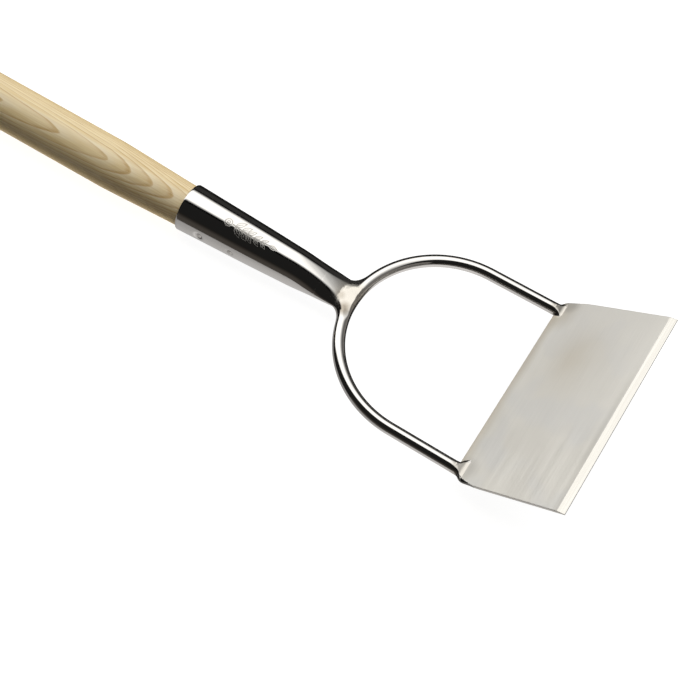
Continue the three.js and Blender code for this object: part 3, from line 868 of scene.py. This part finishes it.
# ---------------------------------------------------------------------- welds
def build_neck():
    x_lo = MOUTH + NECK_CUT

    def f(P):
        x, y, z = P[:, 0], P[:, 1], P[:, 2]
        ay = np.abs(y)
        ds = smax(d_socket(P), x + YOKE_R + 1.5, 3.0)
        az = np.abs(z)
        # the valley is filled less towards the top on the far side
        d = smin(ds, d_bar(P), 6.5 - 4.3 * ease((az - 0.6) / 3.0) * ease((y + 2.0) / 5.0))
        # a round land of weld metal, ground flat above and below
        twist = ease((-y - 6.0) / 5.0) * (1 - ease((-y - 12.0) / 8.0))
        zt = 4.20 - 0.012 * (x + YOKE_R) - 0.17 * np.maximum(x + 66.0, 0.0) * twist
        depth, lean = np.clip(zt - az, 0, 2.2), ease((y - 1.0) / 3.0)
        # its flank leans back further on the far side
        land = (np.hypot(x + 61.8, y + 1.5) - 9.2 + 0.6 * lean - 1.3 * depth - 1.9 * lean * np.minimum(depth, 1.0)) * (0.61 - 0.26 * lean)
        land = np.maximum(np.maximum(land, az - zt), 62.6 - np.hypot(x, y))
        d = smin(d, land, 1.3 - 0.95 * lean)
        soft = 0.25 + 0.30 * (1 - ease((ay - 10.0) / 4.0))
        d = np.where(x > -73.0, smax(d, az - zt, soft), d)
        ang = (np.arctan2(ay, -x) - NECK_ANGLE) * YOKE_R
        # sits a hair lower where the socket and the bar lap over it
        d = d + 0.02 * (1 - ease((x - x_lo - 1.2) / 1.2)) + 0.02 * ease((ang + 2.6) / 1.2)
        d = np.maximum(d, x_lo - x)
        return np.maximum(d, ang)

    V, F, N = iso_mesh(f, (x_lo - 1.2, -31, -14.5), (-50.0, 31, 14.5), 0.42)
    o = mesh_object("weld_neck_piece", V, F, normals=None)
    outward(o)
    o.data.normals_split_custom_set_from_vertices([tuple(n) for n in N])
    return finish(o, MAT_POL, "polished_steel", "weld_neck")


def build_corner(sign, node, spread, slope, out_by):
    yc = YOKE_R + 0.6 + out_by

    def f(P):
        Q = P * np.array([1, sign, 1])
        x, y, z = Q[:, 0], Q[:, 1], Q[:, 2]
        R = Q - BO
        u, w = R @ BU, R @ BN
        db = d_bar(Q)
        dp = d_plate(Q, sign)
        zt = 3.72 - slope * (x - 45.0)
        zp = 0.2 + (x - ARM_L) * 0.589
        # weld metal over the blade's back edge, its top ground to a small flat
        half = np.maximum(spread * (x - 44.8), 0.0) + 0.2
        land = (np.abs(y - yc + 0.6) - half - 1.0 * np.clip(zt - z, 0, 2.5)) * 0.6
        land = np.maximum(np.maximum(land, z - zt), np.maximum(44.0 - x, x - 51.5))
        land = np.maximum(land, zp - 0.8 - z)
        d = smin(db, land, 1.0)
        d = np.where(x > 40.0, smax(d, z - zt, 0.65), d)
        # a hollow fillet in front of the land, a tight one beside the bar
        lat = np.abs(y - yc + 0.6) - half
        front = 0.12 + 1.15 * (1 - ease((lat + 1.1) / 1.2))
        d = np.minimum(smin(d, dp + 0.40, 1.8), smin(land, dp + 0.08, front))
        # the side edge beside it is dressed round, with metal under the blade
        v = np.abs(y)
        cw = chamfer(u, sign)
        out = d_outline(u, v, dressed(u) + 1.4 * ease((u - 16.5) / 3.5), corner_r(sign))
        rim = smax(out, (w + 0.72 * (out + cw)) * 0.8115, 0.7)
        rim = smax(rim, -w - 2.0 - 0.3 * cw, 0.7)
        rim = np.maximum(rim, w + 0.03)
        rim = np.maximum(rim, np.maximum(u - 20.0, (BACK_W / 2 - 5.5) - v))
        d = smin(d, rim, 0.10 + 1.1 * ease((-w - 0.5) / 1.2))
        d = d + 0.02 * (1 - ease((x - WELD_X0 - 1.2) / 1.2))
        d = np.maximum(d, WELD_X0 - x)
        d = np.maximum(d, u - 20.5)
        return np.maximum(d, (YOKE_R - 15.0) - y)

    y0, y1 = (YOKE_R - 17.0, YOKE_R + 12.5) if sign > 0 else (-YOKE_R - 12.5, -YOKE_R + 17.0)
    V, F, N = iso_mesh(f, (WELD_X0 - 1.0, y0, -6.5), (66.5, y1, 13.5), 0.31)
    o = mesh_object(node + "_piece", V, F)
    outward(o)
    o.data.normals_split_custom_set_from_vertices([tuple(n) for n in N])
    return finish(o, MAT_POL, "polished_steel", node)


# ---------------------------------------------------------------------- blade
def build_blade():
    import bmesh
    hb, hf, r, L, T = BACK_W / 2, FRONT_W / 2, CORNER_R, BLADE_L - 0.001, BLADE_T

    def inset(u, sign):
        # ground in towards the back corner, and again where the rounded rim takes over
        return float(dressed(u) + chamfer(u, sign) * (1 - ease((u - 13.0) / 4.0)))

    def side(sign):
        q = corner_r(sign)
        pts = [(u, sign * (hb + (hf - hb) * u / L - inset(u, sign))) for u in np.linspace(L, q, 110)]
        for a in np.linspace(math.pi / 2, math.pi, 18)[1:]:
            pts.append((q + q * math.cos(a), sign * (hb - q - inset(q, sign) + q * math.sin(a))))
        return pts

    left, right = side(1), side(-1)
    outline = left + [(0.0, v) for v in np.linspace(left[-1][1], right[-1][1], 90)[1:-1]] + right[::-1]
    out = np.array(outline)
    # loops: bottom chamfer, sides, top chamfer, then the inner flat; the bevel
    # lowers the top near the cutting edge
    c = 0.16

    def top_w(u):
        return -np.clip((u - (L - 4.6)) / 4.6, 0, 1) * (T - 0.5)

    centre = np.array([L / 2, 0.0])

    def loop(inset, w):
        p = out.copy()
        d = centre - p
        s = np.sign(d)
        p[:, 1] = p[:, 1] + s[:, 1] * np.minimum(inset, np.abs(p[:, 1]))
        back = out[:, 0] < r + 1e-6
        p[back, 0] = p[back, 0] + inset * np.clip((r - out[back, 0]) / r, 0, 1)
        return np.stack([p[:, 0], p[:, 1], w if np.ndim(w) else np.full(len(p), w)], 1)

    tw = top_w(out[:, 0])
    loops = [loop(c, -T), loop(0.0, -T + c), loop(0.0, tw - c), loop(c, tw)]
    V = np.concatenate(loops)
    n = len(out)
    F = []
    for k in range(3):
        for j in range(n - 1):
            F.append((k * n + j, k * n + j + 1, (k + 1) * n + j + 1, (k + 1) * n + j))
    # front edge, a narrow strip from the first to the last outline point
    for k in range(3):
        F.append((k * n + n - 1, k * n, (k + 1) * n, (k + 1) * n + n - 1))
    F.append(tuple(range(n - 1, -1, -1)))
    F.append(tuple(3 * n + j for j in range(n)))
    W = BO + V[:, [0]] * BU + V[:, [1]] * np.array([0, 1, 0]) + V[:, [2]] * BN
    o = mesh_object("blade_piece", W, F, smooth=False)
    # split the top at the bevel line, so that the bevel is a plane of its own
    bm = bmesh.new()
    bm.from_mesh(o.data)
    co = Vector(at(BO + BU * (L - 4.6)))
    bmesh.ops.bisect_plane(bm, geom=bm.verts[:] + bm.edges[:] + bm.faces[:], plane_co=co, plane_no=Vector(BU), dist=1e-7)
    bmesh.ops.recalc_face_normals(bm, faces=bm.faces)
    bm.to_mesh(o.data)
    bm.free()
    o.data.polygons.foreach_set("use_smooth", [True] * len(o.data.polygons))
    sharp_by_angle(o, 15)
    return finish(o, MAT_SATIN, "satin_steel", "blade")


build_shaft()
build_socket()
build_rivet(0, "rivet_rear")
build_rivet(1, "rivet_front")
build_bar()
build_neck()
build_corner(1, "weld_left", 0.92, 0.27, 0.7)
build_corner(-1, "weld_right", 1.25, 0.19, 0.0)
build_blade()


# ------------------------------------------------------------- stage and light
def emitter(name, colour, strength):
    m = bpy.data.materials.new(name)
    m.use_nodes = True
    t = m.node_tree
    t.nodes.clear()
    e = t.nodes.new("ShaderNodeEmission")
    e.inputs[0].default_value = (*colour, 1)
    e.inputs[1].default_value = strength
    out = t.nodes.new("ShaderNodeOutputMaterial")
    t.links.new(e.outputs[0], out.inputs[0])
    return m


def plane(name, centre, axis_u, axis_v, mat):
    c, u, v = Vector(centre), Vector(axis_u), Vector(axis_v)
    me = bpy.data.meshes.new(name)
    me.from_pydata([c - u - v, c + u - v, c + u + v, c - u + v], [], [(0, 1, 2, 3)])
    me.materials.append(mat)
    o = bpy.data.objects.new(name, me)
    bpy.context.scene.collection.objects.link(o)
    return o


focus = Vector(at([-40, 0, 0]))
CARD = 1.55

fm, ft, fb = new_material("floor_paper")
fb.inputs["Base Color"].default_value = (0.22, 0.22, 0.22, 1)
fb.inputs["Roughness"].default_value = 0.9
fb.inputs["Specular IOR Level"].default_value = 0.1
fb.inputs["Emission Color"].default_value = (1, 1, 1, 1)
fb.inputs["Emission Strength"].default_value = 0.93
floor = plane("floor", (0, 0, 0), (30, 0, 0), (0, 30, 0), fm)
floor.visible_glossy = False
floor.visible_diffuse = False


def only_in_metal(o):
    o.visible_camera = False
    o.visible_diffuse = False
    o.visible_shadow = False
    o.visible_transmission = False
    return o


# grey board well below, seen only in reflections, on the camera's side, and the
# dim edge of the room above it
bm_ = emitter("board_grey", (1.0, 0.97, 0.95), 0.62)
bn = Nodes(bm_.node_tree)
btc = bm_.node_tree.nodes.new("ShaderNodeTexCoord")
board_x = bn.xyz(btc.outputs["Object"])[0]
board_emission = [k for k in bm_.node_tree.nodes if k.type == "EMISSION"][0]
bn.put(board_emission.inputs[1], bn.ramp(bn.map(board_x, -2.0, 4.0), [(0.0, 0.35), (0.25, 0.44), (0.36, 0.62), (0.55, 0.80), (1.0, 0.80)]))
board = only_in_metal(plane("reflection_board", (focus.x, -2.95, -2.5), (9, 0, 0), (0, 4.35, 0), bm_))
sk = emitter("skirt_brown", (1.0, 0.87, 0.75), 0.062)
skn = Nodes(sk.node_tree)
skc = sk.node_tree.nodes.new("ShaderNodeTexCoord")
skirt_z = skn.xyz(skc.outputs["Object"])[2]
skirt_emission = [k for k in sk.node_tree.nodes if k.type == "EMISSION"][0]
skn.put(skirt_emission.inputs[1], skn.ramp(skn.map(skirt_z, -0.1, 2.9), [(0.0, 0.066), (0.28, 0.053), (0.54, 0.035), (0.79, 0.021), (1.0, 0.013)]))
skirt = only_in_metal(plane("reflection_skirt", (focus.x, -8.4, -0.25), (9, 0, 0), (0, 0, 3.15), sk))
# the dim far side of the room
farwall = only_in_metal(plane("reflection_far", (focus.x - 2.0, 5.6, 0.7), (5.5, 0, 0), (0, 0, 1.6), emitter("far_dim", (1.0, 0.97, 0.93), 0.036)))
# the lighter end of the room, past the hoe's head
wall = only_in_metal(plane("reflection_wall", (focus.x + 2.0, 1.4, 0.55), (0, 3.1, 0), (0, 0, 1.3), emitter("wall_tan", (1.0, 0.93, 0.86), 0.20)))


# large soft card above the far side; it fades out past the hoe's head
box_dir = Vector((0, math.sin(math.radians(27.5)), math.cos(math.radians(27.5))))
bx = Vector((1, 0, 0))
by = box_dir.cross(bx)
cm = emitter("card_white", (1.0, 0.985, 0.955), 1.0)
cn = Nodes(cm.node_tree)
ctc = cm.node_tree.nodes.new("ShaderNodeTexCoord")
card_x, card_y, card_z = cn.xyz(ctc.outputs["Object"])
# height of the point over the hoe and how far it lies to the far side: the
# card's edges are soft
tilt = cn.math("ARCTAN2", card_y, cn.math("SUBTRACT", card_z, Z0 / 1000.0))
past = cn.map(card_x, 0.6, 1.5, 0.0, 1.0, smooth=True)
tilt_far = cn.math("MULTIPLY_ADD", past, -math.radians(13.0), tilt)
soft = cn.math("MULTIPLY", cn.map(tilt_far, math.radians(64.0), math.radians(46.0), 0.0, 1.0, smooth=True),
               cn.map(tilt, math.radians(-9.0), math.radians(3.5), 0.0, 1.0, smooth=True))
skew = cn.math("MULTIPLY_ADD", card_y, 0.54, cn.math("ADD", card_x, -0.54 * 1.0))
fall = cn.ramp(cn.map(skew, -1.0, 3.0), [(0.0, 1.0), (0.36, 1.0), (0.44, 0.88), (0.54, 0.61), (0.64, 0.38), (0.76, 0.20), (0.88, 0.12), (1.0, 0.09)], "EASE")
card_emission = [k for k in cm.node_tree.nodes if k.type == "EMISSION"][0]
cn.put(card_emission.inputs[1], cn.math("MULTIPLY", cn.math("MULTIPLY", fall, soft), CARD))
card = only_in_metal(plane("reflection_card", focus + box_dir * 2.5 + Vector((-2.0, 0, 0)), bx * 5.4, by * 2.3, cm))

sb = bpy.data.lights.new("soft_box", "AREA")
sb.shape = "RECTANGLE"
sb.size, sb.size_y = 6.0, 3.84
sb.color = (1.0, 0.985, 0.955)
sbo = bpy.data.objects.new("soft_box", sb)
bpy.context.scene.collection.objects.link(sbo)
sbo.location = focus + box_dir * 2.5 + Vector((-0.6, 0, 0))
sbo.rotation_mode = "QUATERNION"
sbo.rotation_quaternion = Matrix(((bx.x, by.x, box_dir.x), (bx.y, by.y, box_dir.y), (bx.z, by.z, box_dir.z))).to_quaternion()
sb.energy = 1.84 * sb.size * sb.size_y * math.pi     # a radiance of 1.84
sbo.visible_glossy = False

# light the paper throws back up at the underside
ub = bpy.data.lights.new("paper_bounce", "AREA")
ub.shape = "RECTANGLE"
ub.size, ub.size_y = 3.0, 0.9
ub.color = (1.0, 0.87, 0.62)
ubo = bpy.data.objects.new("paper_bounce", ub)
bpy.context.scene.collection.objects.link(ubo)
ubo.location = (focus.x - 0.2, 0.0, -0.8)
ubo.rotation_mode = "QUATERNION"
ubo.rotation_quaternion = Matrix(((1, 0, 0), (0, -1, 0), (0, 0, -1))).to_quaternion()
ub.energy = 2.8 * ub.size * ub.size_y * math.pi
ubo.visible_glossy = False
floor.visible_shadow = False

world = bpy.data.worlds.new("studio")
bpy.context.scene.world = world
world.use_nodes = True
wt = world.node_tree
wt.nodes.clear()
wo = wt.nodes.new("ShaderNodeOutputWorld")
lp = wt.nodes.new("ShaderNodeLightPath")
bg_cam = wt.nodes.new("ShaderNodeBackground")
bg_cam.inputs[0].default_value = (0.95, 0.95, 0.95, 1)
bg_cam.inputs[1].default_value = 1.0
bg_amb = wt.nodes.new("ShaderNodeBackground")
bg_amb.inputs[0].default_value = (1.0, 0.84, 0.62, 1)
bg_amb.inputs[1].default_value = 0.046
bg_glo = wt.nodes.new("ShaderNodeBackground")
bg_glo.inputs[0].default_value = (1.0, 0.97, 0.93, 1)
bg_glo.inputs[1].default_value = 0.014
m1 = wt.nodes.new("ShaderNodeMixShader")
m2 = wt.nodes.new("ShaderNodeMixShader")
wt.links.new(lp.outputs["Is Glossy Ray"], m1.inputs[0])
wt.links.new(bg_amb.outputs[0], m1.inputs[1])
wt.links.new(bg_glo.outputs[0], m1.inputs[2])
wt.links.new(lp.outputs["Is Camera Ray"], m2.inputs[0])
wt.links.new(m1.outputs[0], m2.inputs[1])
wt.links.new(bg_cam.outputs[0], m2.inputs[2])
wt.links.new(m2.outputs[0], wo.inputs[0])

sc = bpy.context.scene
sc.view_settings.view_transform = "Standard"
sc.view_settings.look = "None"
sc.view_settings.exposure = 0.0
sc.view_settings.gamma = 1.0
